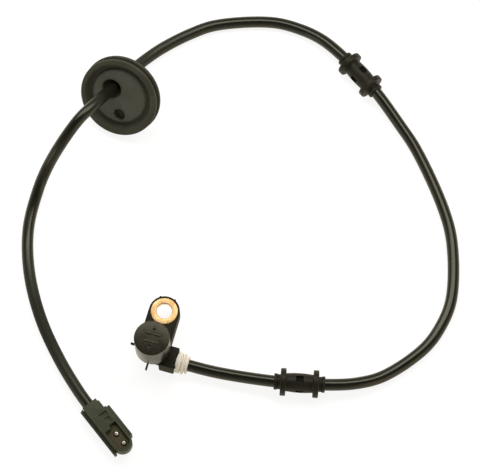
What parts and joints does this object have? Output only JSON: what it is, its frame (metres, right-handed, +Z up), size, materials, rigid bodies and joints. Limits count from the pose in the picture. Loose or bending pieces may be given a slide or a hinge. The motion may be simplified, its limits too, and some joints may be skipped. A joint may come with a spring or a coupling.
{
  "type": "wheel speed sensor",
  "caption": "Wheel speed sensor with a fixing ear, ribbed ferrule, round cable, bracket sleeves, body grommet and a flat two pin connector.",
  "frame": {"origin": "middle of the sensor head's footprint, on the surface it lies on", "axes": "+Z up along the nose, out of the tip; +Y from the nose to the fixing ear; +X the way the cable leaves the head"},
  "size_m": [0.1871, 0.2092, 0.0297],
  "materials": {
    "head_plastic": "moulded, fine matte, black",
    "nose_plastic": "moulded, smooth, black",
    "yellow_bush": "yellow passivated metal, satin",
    "natural_nylon": "moulded, off-white",
    "jacket": "extruded polyurethane jacket, glossy black",
    "grommet_rubber": "moulded rubber, matte dark grey",
    "sleeve_rubber": "moulded rubber, black",
    "plug_plastic": "moulded, matte dark grey",
    "carrier_plastic": "moulded, dark brown",
    "tinned_contact": "tinned copper alloy",
    "chip_mould": "moulded chip body",
    "magnet_block": "sintered magnet",
    "core_insulation": "extruded core insulation"
  },
  "bodies": {
    "root": {"head_housing": "head_plastic", "nose_cap": "nose_plastic", "mounting_bush": "yellow_bush", "cable_ferrule": "natural_nylon", "cable_jacket": "jacket", "lower_sleeve": "sleeve_rubber", "upper_sleeve": "sleeve_rubber", "panel_grommet": "grommet_rubber", "connector_housing": "plug_plastic", "pin_carrier": "carrier_plastic", "contact_pin_1": "tinned_contact", "contact_pin_2": "tinned_contact", "chip_carrier": "carrier_plastic", "sensor_chip": "chip_mould", "bias_magnet": "magnet_block", "chip_lead_1": "tinned_contact", "chip_lead_2": "tinned_contact", "core_crimp_1": "tinned_contact", "core_crimp_2": "tinned_contact", "head_core_1": "core_insulation", "head_core_2": "core_insulation", "cable_seal": "grommet_rubber", "plug_core_1": "core_insulation", "plug_core_2": "core_insulation"}
  },
  "joints": []
}
